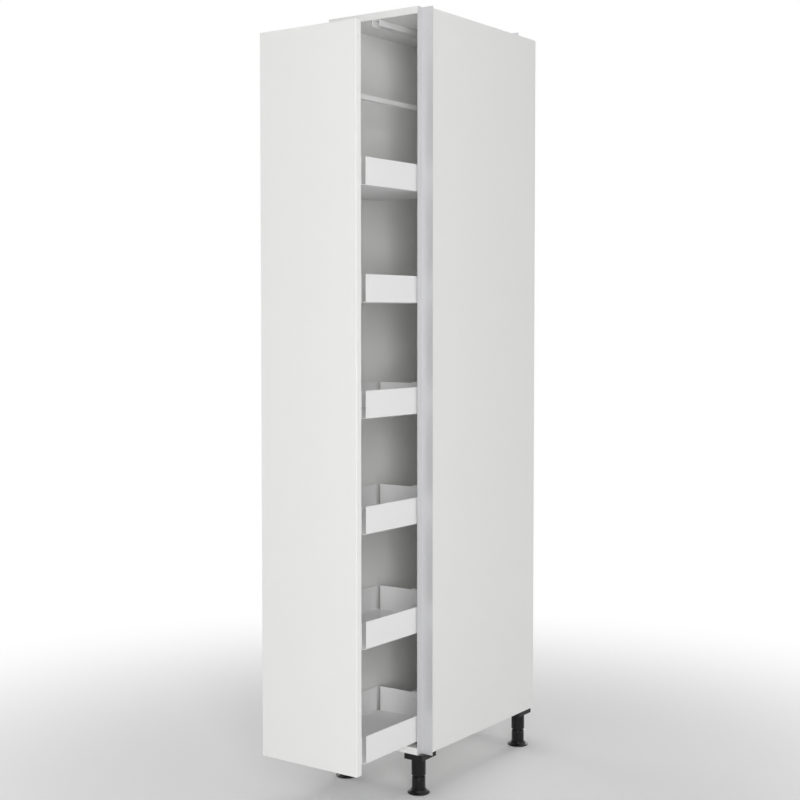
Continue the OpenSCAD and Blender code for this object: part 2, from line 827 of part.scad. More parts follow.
module tray(number) color("white") drawn_out() difference() {
    translate([0, tray_y + tray_l / 2, tray_z(number)]) {
        translate([tray_bend_r - tray_w / 2, tray_bend_r - tray_l / 2, 0])
            cube([tray_w - 2 * tray_bend_r, tray_l - 2 * tray_bend_r, tray_t]);
        for (turn = [0, 180]) rotate(turn)
            translate([-tray_w / 2, tray_corner_gap - tray_l / 2, 0]) tray_wall(tray_l - 2 * tray_corner_gap);
        for (turn = [90, 270]) rotate(turn)
            translate([-tray_l / 2, tray_corner_gap - tray_w / 2, 0]) tray_wall(tray_w - 2 * tray_corner_gap);
    }
    at_tray_rivets() rivet_hole();
}

module tray_1() tray(1);

module tray_2() tray(2);

module tray_3() tray(3);

module tray_4() tray(4);

module tray_5() tray(5);

module tray_6() tray(6);

// Outline of a strip bent over a gap: two legs down, round bends at the top
module arch(w, h, r) {
    square([w, h - r]);
    translate([r, 0]) square([w - 2 * r, h]);
    for (x = [r, w - r]) translate([x, h - r]) circle(r);
}

// Strip that grips a tray's wall and hooks over to a post, from y = first to y = last
module hanger(first, last, rim) translate([-hanger_w / 2, first, rim - hanger_drop]) rotate([90, 0, 90])
    linear_extrude(hanger_w) difference() {
        arch(last - first, hanger_drop + hanger_bend_r, hanger_bend_r);
        translate([hanger_t, -over])
            arch(last - first - 2 * hanger_t, hanger_drop + hanger_lift + over, hanger_bend_r - hanger_t);
    }

module tray_hangers() color("white") drawn_out() difference() {
    for (rim = tray_rim) {
        hanger(front_post_back, tray_y + tray_t + hanger_t, rim);
        hanger(tray_y + tray_l - tray_t - hanger_t, rear_post_y, rim);
    }
    at_front_hanger_screws() screw_hole(hanger_t + steel_bite);
    at_rear_hanger_screws() screw_hole(hanger_t + steel_bite);
    at_tray_rivets() rivet_hole();
}

module hanger_screws() color("silver") drawn_out() {
    at_front_hanger_screws() dome_screw(hanger_t + steel_bite);
    at_rear_hanger_screws() dome_screw(hanger_t + steel_bite);
}

module tray_rivets() color("white") drawn_out() at_tray_rivets() {
    grip = hanger_t + tray_t;
    cylinder(d = rivet_head_d, h = rivet_head_h);
    translate([0, 0, -grip - rivet_head_h / 2]) cylinder(d = rivet_d, h = grip + rivet_head_h);
    translate([0, 0, -grip - rivet_head_h]) cylinder(d = rivet_back_d, h = rivet_head_h);
}

// Front

module door() color("white") drawn_out() difference() {
    translate([0, door_back - door_t / 2, door_low]) linear_extrude(door_h)
        rounded(carcass_w - 2 * door_reveal, door_t, door_edge_r);
    at_door_screws() screw_hole(bracket_t + wood_bite);
}

// Plates behind the front, each with two ears that clasp the front post
module door_brackets() color("whitesmoke") drawn_out() difference() {
    for (z = door_bracket_z) translate([0, door_back, z - bracket_h / 2]) {
        translate([-door_bracket_w / 2, 0, 0]) cube([door_bracket_w, bracket_t, bracket_h]);
        for (side = SIDES) translate([side * (post_w + bracket_t) / 2 - bracket_t / 2, 0, 0])
            cube([bracket_t, bracket_t + ear_l, bracket_h]);
    }
    at_door_screws() screw_hole(bracket_t + wood_bite);
    at_ear_screws() screw_hole(bracket_t + steel_bite);
}

module door_screws() color("silver") drawn_out() {
    at_door_screws() dome_screw(bracket_t + wood_bite);
    at_ear_screws() dome_screw(bracket_t + steel_bite);
}

// Soft buffers meet the left side board's edge and the grip profile
module door_buffers() color("gray") drawn_out() {
    left_x = (board_t - carcass_w) / 2;
    right_x = inner_w / 2 + grip_t / 2;
    for (x = [left_x, right_x], z = [door_low + buffer_in, door_low + door_h - buffer_in])
        translate([x, door_back, z]) facing_back() cylinder(d = buffer_d, h = door_gap - buffer_play);
}

side_left();
side_right();
top_board();
bottom_board();
back_board();
edge_bands();
board_dowels();
grip_profile();
grip_screws();
wall_brackets();
wall_bracket_screws();
guide_rail();
guide_rail_screws();
slide_outer_left();
slide_outer_right();
slide_screws();
foot_plate_front_left();
foot_plate_front_right();
foot_plate_rear_left();
foot_plate_rear_right();
foot_sleeve_front_left();
foot_sleeve_front_right();
foot_sleeve_rear_left();
foot_sleeve_rear_right();
foot_plate_screws();
screw_foot_front_left();
screw_foot_front_right();
screw_foot_rear_left();
screw_foot_rear_right();
slide_middle_left();
slide_middle_right();
ball_cages_outer();
ball_cages_inner();
slide_inner_left();
slide_inner_right();
carriage_plate();
carriage_screws();
front_post();
rear_post();
front_post_cap();
post_brackets();
top_bar();
frame_screws();
guide_carriage();
guide_axles();
guide_roller_front();
guide_roller_rear();
tray_1();
tray_2();
tray_3();
tray_4();
tray_5();
tray_6();
tray_hangers();
hanger_screws();
tray_rivets();
door();
door_brackets();
door_screws();
door_buffers();
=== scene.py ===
import json
import math

import bmesh
import bpy
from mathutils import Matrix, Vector


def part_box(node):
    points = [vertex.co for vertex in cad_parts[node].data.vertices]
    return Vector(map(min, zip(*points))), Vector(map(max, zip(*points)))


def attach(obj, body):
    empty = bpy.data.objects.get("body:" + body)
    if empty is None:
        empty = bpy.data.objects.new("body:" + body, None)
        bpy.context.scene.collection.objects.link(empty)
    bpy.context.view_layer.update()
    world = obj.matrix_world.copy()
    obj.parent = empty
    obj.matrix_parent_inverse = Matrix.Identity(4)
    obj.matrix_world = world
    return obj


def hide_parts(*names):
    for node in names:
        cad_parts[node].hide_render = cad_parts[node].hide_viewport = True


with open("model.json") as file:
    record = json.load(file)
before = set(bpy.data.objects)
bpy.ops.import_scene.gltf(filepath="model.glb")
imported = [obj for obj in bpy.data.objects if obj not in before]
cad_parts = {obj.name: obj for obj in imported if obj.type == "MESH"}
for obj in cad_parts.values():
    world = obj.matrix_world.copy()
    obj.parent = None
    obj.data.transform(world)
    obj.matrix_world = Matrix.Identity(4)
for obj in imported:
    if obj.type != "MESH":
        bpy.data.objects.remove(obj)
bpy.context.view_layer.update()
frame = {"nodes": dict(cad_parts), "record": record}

# The view, fitted to the drawing: almost level, with its horizon above the middle of the picture
IMAGE_SIDE = 800
FOCAL_PIXELS = 1399.0
HORIZON_SHIFT = 24
CAMERA_PLACE = Vector((2.1372, -3.0516, 1.2290))
CAMERA_YAW = math.radians(35.375)
CAMERA_PITCH = math.radians(2.42)
SENSOR = 36.0

# Sheets, tubes and small parts, in metres
DOOR_EDGE = 0.0015
BAND = 0.001
BAND_EDGE = 0.0004
TRAY_SHEET = 0.0012
TRAY_BEND = 0.0027
TRAY_CORNER_GAP = 0.008
CUT_EDGE = 0.0003
HOOK_SHEET = 0.002
HOOK_WIDTH = 0.026
HOOK_DROP = 0.040
HOOK_BEND = 0.003
TUBE_CORNER = 0.0025
BAR_CORNER = 0.002
BAR_PLATE = 0.003
BAR_TUBE_HALF = Vector((0.0075, 0, 0.0065))
ANGLE_SHEET = 0.003
ANGLE_UPRIGHT = 0.040
ANGLE_INSET = 0.003
RUNNER_SHEET = 0.0012
RUNNER_BEND = 0.0022
BALL = 0.0025
BALLS_IN_A_ROW = 16
CAGE_WIDTH = 0.002
ROLLER_EDGE = 0.0012
SCREW_SHANK = 0.002
DOME_HEAD = 0.0022
FLAT_HEAD = 0.0008
SUNK_HEAD = 0.0014
RIVET_HEAD = 0.001
RIVET_PIN = 0.002
RAIL_SHEET = 0.0015
RAIL_BEND = 0.002
SEED = 0.001
MERGE = 1e-6

# Outlines of turned parts, in metres
RIM = 0.0001
SCREW_POINT = 0.0004
SCREW_TAPER = 0.003
RECESS_DEPTH = 0.0011
RECESS_WIDTH = 0.0009
RIVET_EDGE = 0.0003
FOOT_PLAY = 0.0035
SLEEVE_WALL = 0.003
SLEEVE_LIP = 0.0015

# Edges that are shaded smooth or rounded, by their angle in degrees
SMOOTH_BELOW = 35
CUT_ABOVE = 50
EASE_ABOVE = 40
LARGE_FACE_WEIGHT = 60

TRAYS = 6

# The floor and its fade into white, in metres, and the light of the surroundings
FLOOR_SIZE = 24
FADE_FROM, FADE_TO = 0.6, 2.2
AMBIENT, WHITE = 0.36, 1.0


# Modelling

def select_only(*pieces):
    bpy.ops.object.select_all(action="DESELECT")
    for piece in pieces:
        piece.select_set(True)
    bpy.context.view_layer.objects.active = pieces[0]


def named(name):
    """Names the new primitive and puts its place and size into its mesh."""
    piece = bpy.context.object
    piece.name = name
    piece.data.name = name
    select_only(piece)
    bpy.ops.object.transform_apply(location=True, rotation=True, scale=True)
    return piece


def edit(piece, mode="EDGE"):
    select_only(piece)
    bpy.ops.object.mode_set(mode="EDIT")
    bpy.ops.mesh.select_mode(type=mode)
    bpy.ops.mesh.select_all(action="SELECT")


def leave_edit():
    bpy.ops.object.mode_set(mode="OBJECT")


def select_edges(piece, wanted):
    """In edit mode, selects only the edges for which wanted(first end, second end) is true."""
    bpy.ops.mesh.select_all(action="DESELECT")
    mesh = bmesh.from_edit_mesh(piece.data)
    for edge in mesh.edges:
        first, second = (corner.co for corner in edge.verts)
        if wanted(first, second):
            edge.select_set(True)
    bmesh.update_edit_mesh(piece.data)


def apply(piece, kind, **settings):
    """Adds a modifier with these settings and applies it."""
    select_only(piece)
    modifier = piece.modifiers.new(kind.lower(), kind)
    for key, value in settings.items():
        setattr(modifier, key, value)
    bpy.ops.object.modifier_apply(modifier=modifier.name)


def smooth(piece):
    """Shades a piece smooth over its gentle edges. Its large faces stay flat beside their rounded edges."""
    select_only(piece)
    bpy.ops.object.shade_smooth_by_angle(angle=math.radians(SMOOTH_BELOW))
    apply(piece, "WEIGHTED_NORMAL", keep_sharp=True, weight=LARGE_FACE_WEIGHT)


def close_up(piece):
    """Merges the doubles of a mesh and turns its faces outwards."""
    edit(piece, "VERT")
    bpy.ops.mesh.remove_doubles(threshold=MERGE)
    bpy.ops.mesh.normals_make_consistent(inside=False)
    leave_edit()


def block(name, low, high, radius, segments=3):
    """A block between two corners, all its edges rounded."""
    bpy.ops.mesh.primitive_cube_add(size=1, location=(low + high) / 2, scale=high - low)
    piece = named(name)
    edit(piece)
    bpy.ops.mesh.bevel(offset=radius, segments=segments, affect="EDGES")
    leave_edit()
    smooth(piece)
    return piece


def bar(name, low, high, axis, radius):
    """A bar along one axis: its long edges are rounded first, then the edges of its ends."""
    bpy.ops.mesh.primitive_cube_add(size=1, location=(low + high) / 2, scale=high - low)
    piece = named(name)
    edit(piece)
    select_edges(piece, lambda first, second: abs(first[axis] - second[axis]) > SEED)
    bpy.ops.mesh.bevel(offset=radius, segments=4, affect="EDGES")
    select_edges(piece, lambda first, second: abs(first[axis] - second[axis]) < CUT_EDGE)
    bpy.ops.mesh.bevel(offset=CUT_EDGE, segments=2, affect="EDGES")
    leave_edit()
    smooth(piece)
    return piece


def line(name, points, bend=0.0):
    """A line drawn through points by extruding a vertex, its inner corners rounded."""
    bpy.ops.mesh.primitive_plane_add(size=SEED, location=points[0])
    piece = named(name)
    edit(piece, "VERT")
    bpy.ops.mesh.merge(type="CENTER")
    for first, second in zip(points, points[1:]):
        bpy.ops.mesh.extrude_vertices_move(TRANSFORM_OT_translate={"value": second - first})
    if bend:
        bpy.ops.mesh.select_all(action="DESELECT")
        mesh = bmesh.from_edit_mesh(piece.data)
        for corner in mesh.verts:
            corner.select_set(len(corner.link_edges) == 2)
        bmesh.update_edit_mesh(piece.data)
        bpy.ops.mesh.bevel(offset=bend, segments=4, affect="VERTICES")
    leave_edit()
    return piece


def folded(name, points, way, thickness, bend):
    """A folded strip: the middle line of its sheet is drawn, swept along way and given its thickness."""
    piece = line(name, points, bend)
    edit(piece)
    bpy.ops.mesh.extrude_region_move(TRANSFORM_OT_translate={"value": way})
    bpy.ops.mesh.select_all(action="SELECT")
    bpy.ops.mesh.normals_make_consistent(inside=False)
    leave_edit()
    thicken(piece, thickness)
    return piece


def thicken(piece, thickness):
    """Gives a sheet its thickness to both sides and rounds its cut edges."""
    apply(piece, "SOLIDIFY", thickness=thickness, offset=0, use_even_offset=True)
    apply(piece, "BEVEL", width=CUT_EDGE, segments=2, limit_method="ANGLE",
          angle_limit=math.radians(CUT_ABOVE))
    smooth(piece)


def turned(name, centre, outline, steps=48, closed=False):
    """A turned shape about an upright axis. The outline is a list of (radius, height) from the axis to
    the axis, or all round a wall if it is closed."""
    points = [centre + Vector((radius, 0, height)) for radius, height in outline]
    if closed:
        points.append(points[0])
    piece = line(name, points)
    edit(piece)
    bpy.ops.mesh.spin(steps=steps, angle=math.tau, center=centre, axis=(0, 0, 1))
    leave_edit()
    close_up(piece)
    smooth(piece)
    return piece


def arc(centre, radius, first, last, steps=5):
    """Points of an outline's round stretch, from one angle to another in degrees."""
    angles = [math.radians(first + (last - first) * i / steps) for i in range(steps + 1)]
    return [(centre[0] + radius * math.cos(a), centre[1] + radius * math.sin(a)) for a in angles]


def ellipse(half_width, height, first, last, steps):
    """Points of a quarter ellipse about the axis, from one angle to another in degrees."""
    angles = [math.radians(first + (last - first) * i / steps) for i in range(steps + 1)]
    return [(half_width * math.cos(a), height * math.sin(a)) for a in angles]


def eased(node, radius, slot, body):
    """Puts a copy of a CAD node with its sharp edges rounded in the node's place."""
    piece = bpy.data.objects.new(f"{node}_eased", frame["nodes"][node].data.copy())
    bpy.context.scene.collection.objects.link(piece)
    edit(piece, "VERT")
    bpy.ops.mesh.remove_doubles(threshold=MERGE)
    bpy.ops.mesh.dissolve_limited(angle_limit=math.radians(1))
    leave_edit()
    apply(piece, "BEVEL", width=radius, segments=2, limit_method="ANGLE",
          angle_limit=math.radians(EASE_ABOVE))
    smooth(piece)
    fitted(piece, slot, body, node)


def copy_moved(piece, name, way):
    """A copy of a piece with its own mesh, moved by the given way."""
    select_only(piece)
    bpy.ops.object.duplicate(linked=False)
    bpy.context.object.location = way
    return named(name)


def joined(name, pieces):
    """Joins pieces that touch nowhere into one object."""
    select_only(*pieces)
    bpy.ops.object.join()
    return named(name)


def solids(node):
    """The loose solids of a CAD node, each as its lowest and highest corner and its points."""
    mesh = bmesh.new()
    mesh.from_mesh(frame["nodes"][node].data)
    bmesh.ops.remove_doubles(mesh, verts=mesh.verts, dist=MERGE)
    left, found = set(mesh.verts), []
    while left:
        reached = [left.pop()]
        for corner in reached:
            for edge in corner.link_edges:
                other = edge.other_vert(corner)
                if other in left:
                    left.remove(other)
                    reached.append(other)
        points = [corner.co.copy() for corner in reached]
        low = Vector([min(point[i] for point in points) for i in range(3)])
        high = Vector([max(point[i] for point in points) for i in range(3)])
        found.append((low, high, points))
    mesh.free()
    return sorted(found, key=lambda solid: tuple(round(value, 4) for value in solid[0]))


def fastener(low, high, points):
    """Measures a turned solid with a head: the middle of its tip's end, the way that its head faces, its
    head's radius and its length."""
    size = high - low
    axis = min(range(3), key=lambda i: abs(size[(i + 1) % 3] - size[(i + 2) % 3]))
    middle = (low + high) / 2
    radius = size[(axis + 1) % 3] / 2
    across = [i for i in range(3) if i != axis]
    centre = [middle[i] for i in across]
    on_rim = 0.98 * radius
    rim = [point[axis] for point in points if math.dist([point[i] for i in across], centre) > on_rim]
    way = Vector((0, 0, 0))
    way[axis] = 1 if sum(rim) / len(rim) > middle[axis] else -1
    return middle - way * size[axis] / 2, way, radius, size[axis]


def place_copy(piece, name, place, way):
    """A copy of a piece that was made upright at the origin, turned to face way and moved to its place."""
    select_only(piece)
    bpy.ops.object.duplicate(linked=False)
    bpy.context.object.rotation_euler = way.to_track_quat("Z", "Y").to_euler()
    bpy.context.object.location = place
    return named(name)


# Shader groups

def new_group(name, inputs, outputs):
    """An empty shader group with float, colour and vector sockets, and its input and output nodes."""
    group = bpy.data.node_groups.new(name, "ShaderNodeTree")
    kinds = {"f": "NodeSocketFloat", "c": "NodeSocketColor", "v": "NodeSocketVector"}
    for way, sockets in (("INPUT", inputs), ("OUTPUT", outputs)):
        for socket_name, kind in sockets:
            group.interface.new_socket(name=socket_name, in_out=way, socket_type=kinds[kind])
    return group, group.nodes.new("NodeGroupInput"), group.nodes.new("NodeGroupOutput")


def add_noise(tree, vector, scale, detail=2.0, roughness=0.5):
    """A noise texture. scale is a number or a socket."""
    noise = tree.nodes.new("ShaderNodeTexNoise")
    noise.inputs["Detail"].default_value = detail
    noise.inputs["Roughness"].default_value = roughness
    tree.links.new(vector, noise.inputs["Vector"])
    if isinstance(scale, bpy.types.NodeSocket):
        tree.links.new(scale, noise.inputs["Scale"])
    else:
        noise.inputs["Scale"].default_value = scale
    return noise.outputs["Fac"]


def add_math(tree, operation, *values):
    """A math node. Each value is a number or a socket."""
    node = tree.nodes.new("ShaderNodeMath")
    node.operation = operation
    for socket, value in zip(node.inputs, values):
        if isinstance(value, bpy.types.NodeSocket):
            tree.links.new(value, socket)
        else:
            socket.default_value = value
    return node.outputs[0]


def object_coordinates(tree):
    return tree.nodes.new("ShaderNodeTexCoord").outputs["Object"]


def make_drift_group():
    """Slow change of a colour's lightness and of a roughness over a surface."""
    inputs = [("Color", "c"), ("Roughness", "f"), ("Scale", "f"), ("Lightness", "f"), ("Spread", "f")]
    group, given, result = new_group("finish_drift", inputs, [("Color", "c"), ("Roughness", "f")])
    place = object_coordinates(group)
    noise = add_noise(group, place, given.outputs["Scale"], detail=3.0)
    centred = add_math(group, "SUBTRACT", noise, 0.5)
    shade = add_math(group, "MULTIPLY_ADD", centred, given.outputs["Lightness"], 1.0)
    scaled = group.nodes.new("ShaderNodeVectorMath")
    scaled.operation = "SCALE"
    group.links.new(given.outputs["Color"], scaled.inputs[0])
    group.links.new(shade, scaled.inputs["Scale"])
    group.links.new(scaled.outputs[0], result.inputs["Color"])
    rough = add_math(group, "MULTIPLY_ADD", centred, given.outputs["Spread"], given.outputs["Roughness"])
    group.links.new(rough, result.inputs["Roughness"])
    return group


def make_relief_group():
    """Fine relief of a coated or moulded surface: small bumps with a share of finer ones."""
    group, given, result = new_group("fine_relief", [("Scale", "f"), ("Finer", "f")], [("Height", "f")])
    place = object_coordinates(group)
    coarse = add_noise(group, place, given.outputs["Scale"], detail=1.0)
    times_finer = 3.7
    finer_scale = add_math(group, "MULTIPLY", given.outputs["Scale"], times_finer)
    fine = add_noise(group, place, finer_scale)
    height = add_math(group, "MULTIPLY_ADD", fine, given.outputs["Finer"], coarse)
    group.links.new(height, result.inputs["Height"])
    return group


def make_lines_group():
    """Lines left by rolling, drawing or extruding. Stretch is small along the lines and large across them."""
    group, given, result = new_group("drawn_lines", [("Stretch", "v")], [("Height", "f")])
    stretched = group.nodes.new("ShaderNodeVectorMath")
    stretched.operation = "MULTIPLY"
    group.links.new(object_coordinates(group), stretched.inputs[0])
    group.links.new(given.outputs["Stretch"], stretched.inputs[1])
    noise = add_noise(group, stretched.outputs[0], 1.0, detail=4.0, roughness=0.6)
    group.links.new(noise, result.inputs["Height"])
    return group


DRIFT = make_drift_group()
RELIEF = make_relief_group()
LINES = make_lines_group()


def place_group(material, group, **values):
    """Places a shader group in a material. Underscores in the names stand for spaces."""
    node = material.node_tree.nodes.new("ShaderNodeGroup")
    node.node_tree = group
    for key, value in values.items():
        node.inputs[key.replace("_", " ")].default_value = value
    return node


def new_material(name, color, roughness, drift_scale, lightness, spread):
    """A material and its shader. Its colour drifts over the surface by lightness, its roughness by
    spread."""
    material = bpy.data.materials.new(name)
    material.use_nodes = True
    shader = material.node_tree.nodes["Principled BSDF"]
    drift = place_group(material, DRIFT, Color=(*color, 1), Roughness=roughness, Scale=drift_scale,
                        Lightness=lightness, Spread=spread)
    material.node_tree.links.new(drift.outputs["Color"], shader.inputs["Base Color"])
    material.node_tree.links.new(drift.outputs["Roughness"], shader.inputs["Roughness"])
    return material, shader


def add_bump(material, shader, height, distance):
    bump = material.node_tree.nodes.new("ShaderNodeBump")
    bump.inputs["Distance"].default_value = distance
    bump.inputs["Strength"].default_value = 1.0
    material.node_tree.links.new(height, bump.inputs["Height"])
    material.node_tree.links.new(bump.outputs["Normal"], shader.inputs["Normal"])


def add_relief(material, shader, scale, finer, distance):
    relief = place_group(material, RELIEF, Scale=scale, Finer=finer)
    add_bump(material, shader, relief.outputs["Height"], distance)


def add_lines(material, shader, stretch, distance):
    lines = place_group(material, LINES, Stretch=stretch)
    add_bump(material, shader, lines.outputs["Height"], distance)


# Materials

def white_board():
    """Melamine faced board: a fine pearl relief, satin."""
    material, shader = new_material("melamine_white", (0.86, 0.86, 0.85), roughness=0.42,
                                    drift_scale=3.0, lightness=0.02, spread=0.08)
    add_relief(material, shader, scale=900.0, finer=0.5, distance=0.00005)
    return material


def white_front():
    """Sprayed lacquer: smooth, with the faint waviness that spraying leaves."""
    material, shader = new_material("lacquer_white", (0.88, 0.88, 0.87), roughness=0.46,
                                    drift_scale=2.0, lightness=0.012, spread=0.05)
    add_relief(material, shader, scale=240.0, finer=0.15, distance=0.00004)
    shader.inputs["Coat Weight"].default_value = 0.06
    shader.inputs["Coat Roughness"].default_value = 0.4
    return material


def powder_coat(name, color):
    """Powder coat on steel: a close orange peel, satin."""
    material, shader = new_material(name, color, roughness=0.38, drift_scale=5.0, lightness=0.02,
                                    spread=0.08)
    add_relief(material, shader, scale=700.0, finer=0.6, distance=0.00008)
    return material


def edge_band():
    """Extruded plastic band: a faint relief, a little glossier than the boards."""
    material, shader = new_material("band_white", (0.85, 0.85, 0.84), roughness=0.38,
                                    drift_scale=6.0, lightness=0.02, spread=0.05)
    add_relief(material, shader, scale=600.0, finer=0.3, distance=0.00004)
    return material


def profile():
    """Anodised aluminium: fine upright lines from extruding under a satin bloom."""
    material, shader = new_material("anodised_aluminium", (0.64, 0.64, 0.65), roughness=0.5,
                                    drift_scale=8.0, lightness=0.03, spread=0.1)
    shader.inputs["Metallic"].default_value = 0.35
    add_lines(material, shader, stretch=(2600.0, 2600.0, 4.0), distance=0.00006)
    return material


def zinc(name, stretch):
    """Zinc plated steel: a bright, slightly cloudy metal with rolling lines."""
    material, shader = new_material(name, (0.66, 0.67, 0.69), roughness=0.32, drift_scale=60.0,
                                    lightness=0.12, spread=0.18)
    shader.inputs["Metallic"].default_value = 1.0
    add_lines(material, shader, stretch, distance=0.00003)
    return material


def foot_black():
    """Moulded black plastic with a fine spark eroded texture and a soft gloss."""
    material, shader = new_material("moulded_black", (0.009, 0.0078, 0.0082), roughness=0.2,
                                    drift_scale=25.0, lightness=0.3, spread=0.08)
    shader.inputs["Specular IOR Level"].default_value = 0.3
    add_relief(material, shader, scale=1500.0, finer=0.5, distance=0.00002)
    return material


def moulded(name, color, roughness):
    """Plain moulded plastic or rubber."""
    material, shader = new_material(name, color, roughness, drift_scale=30.0, lightness=0.05,
                                    spread=0.08)
    add_relief(material, shader, scale=1200.0, finer=0.4, distance=0.00003)
    return material


def beech():
    """Beech dowels: grain along them, across the unit."""
    material, shader = new_material("beech", (0.56, 0.38, 0.22), roughness=0.55, drift_scale=90.0,
                                    lightness=0.25, spread=0.1)
    add_lines(material, shader, stretch=(60.0, 2200.0, 2200.0), distance=0.0001)
    return material


MATERIALS = {
    "white_board": white_board(),
    "white_front": white_front(),
    "edge_band": edge_band(),
    "beech": beech(),
    "profile": profile(),
    "zinc": zinc("zinc_plate", (500.0, 500.0, 500.0)),
    "runner": zinc("zinc_rolled", (1800.0, 12.0, 1800.0)),
    "frame_coat": powder_coat("frame_powder_coat", (0.80, 0.80, 0.80)),
    "tray_coat": powder_coat("tray_powder_coat", (0.86, 0.86, 0.86)),
    "foot_black": foot_black(),
    "guide_white": moulded("guide_plastic", (0.78, 0.78, 0.76), 0.4),
    "cage": moulded("cage_plastic", (0.06, 0.065, 0.075), 0.45),
    "buffer": moulded("buffer_rubber", (0.55, 0.56, 0.56), 0.5),
}


def fitted(piece, slot, body, *nodes):
    """Gives a piece its finish and its body, and hides the CAD nodes that it stands for."""
    piece.data.materials.clear()
    piece.data.materials.append(MATERIALS[slot])
    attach(piece, body)
    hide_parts(*nodes)


def finish_cad_nodes():
    """Gives each CAD node the finish of its slot."""
    for entry in frame["record"]["subparts"]:
        node = frame["nodes"][entry["node"]]
        for place in node.material_slots:
            place.material = MATERIALS[entry["material_slot"]]


# Carcass pieces

def make_edge_bands():
    """Bands glued on the boards' front edges. The right one stands behind the grip profile."""
    front, top_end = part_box("edge_bands")
    left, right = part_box("side_left"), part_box("side_right")
    upper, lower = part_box("top_board"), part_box("bottom_board")
    corners = {
        "band_left": (Vector((left[0].x, front.y, front.z)),
                      Vector((left[1].x, front.y + BAND, top_end.z))),
        "band_right": (Vector((right[0].x, right[0].y - BAND, front.z)),
                       Vector((right[1].x, right[0].y, top_end.z))),
        "band_top": (Vector((upper[0].x, front.y, upper[0].z)),
                     Vector((upper[1].x, front.y + BAND, upper[1].z))),
        "band_bottom": (Vector((lower[0].x, front.y, lower[0].z)),
                        Vector((lower[1].x, front.y + BAND, lower[1].z))),
    }
    for name, (low, high) in corners.items():
        fitted(block(name, low, high, BAND_EDGE), "edge_band", "carcass", "edge_bands")


def runner_member(node, body, upward):
    """A rolled runner member: a channel with round bends, open upwards or downwards."""
    low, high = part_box(node)
    half = RUNNER_SHEET / 2
    floor, rim = (low.z + half, high.z) if upward else (high.z - half, low.z)
    points = [Vector((low.x + half, low.y, rim)), Vector((low.x + half, low.y, floor)),
              Vector((high.x - half, low.y, floor)), Vector((high.x - half, low.y, rim))]
    piece = folded(f"{node}_rolled", points, Vector((0, high.y - low.y, 0)), RUNNER_SHEET, RUNNER_BEND)
    fitted(piece, "runner", body, node)


def make_runners():
    for side in ("left", "right"):
        runner_member(f"slide_outer_{side}", "carcass", True)
        runner_member(f"slide_middle_{side}", "runner_middles", True)
        runner_member(f"slide_inner_{side}", "larder", False)


def ball_cage(node, body, member):
    """Four cage strips beside the two members, each with a row of balls that stand out of both faces."""
    low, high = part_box(node)
    strips, rows = [], []
    middle = (low.z + high.z) / 2
    for side in ("left", "right"):
        inside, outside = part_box(f"{member}_{side}")
        gap = (high.x - outside.x) if side == "right" else (inside.x - low.x)
        for x in (inside.x - gap + CAGE_WIDTH / 2, outside.x + gap - CAGE_WIDTH / 2):
            strip_low = Vector((x - CAGE_WIDTH / 2, low.y, low.z))
            strip_high = Vector((x + CAGE_WIDTH / 2, high.y, high.z))
            strips.append(block(f"strip_{len(strips)}", strip_low, strip_high, CUT_EDGE, 2))
            step = (high.y - low.y) / BALLS_IN_A_ROW
            bpy.ops.mesh.primitive_uv_sphere_add(segments=10, ring_count=6, radius=BALL / 2,
                                                 location=(x, low.y + step / 2, middle))
            row = named(f"row_{len(rows)}")
            apply(row, "ARRAY", count=BALLS_IN_A_ROW, use_relative_offset=False, use_constant_offset=True,
                  constant_offset_displace=(0, step, 0))
            smooth(row)
            rows.append(row)
    fitted(joined(f"{node}_strips", strips), "cage", body, node)
    fitted(joined(f"{node}_balls", rows), "runner", body, node)


# Feet

def foot_outline(height, spindle_top):
    """Outline of the screw foot, out from the axis under its disc and back in on top of its spindle."""
    disc, barrel, spindle, neck = 0.029, 0.0175, 0.0142, 0.0164
    disc_edge, collar_edge, barrel_edge = 0.0018, 0.0008, 0.0025
    hollow, hollow_rim, hollow_depth = 0.020, 0.021, 0.0006
    flare = [(0.0262, 0.0043), (0.0240, 0.0056), (0.0221, 0.0072), (0.0205, 0.0091), (0.0193, 0.0110)]
    flare_end, flare_top, neck_top = 0.0189, 0.0112, 0.0121
    outline = [(0, hollow_depth), (hollow, hollow_depth), (hollow_rim, 0)]
    outline += arc((disc - disc_edge, disc_edge), disc_edge, -90, 55) + flare
    outline += [(flare_end, flare_top), (neck, flare_top), (neck, neck_top), (barrel - collar_edge, neck_top)]
    outline += arc((barrel - collar_edge, neck_top + collar_edge), collar_edge, -60, 0, 3)
    outline += arc((barrel - barrel_edge, height - barrel_edge), barrel_edge, 0, 90)
    outline += [(spindle, height), (spindle, spindle_top), (0, spindle_top)]
    return outline


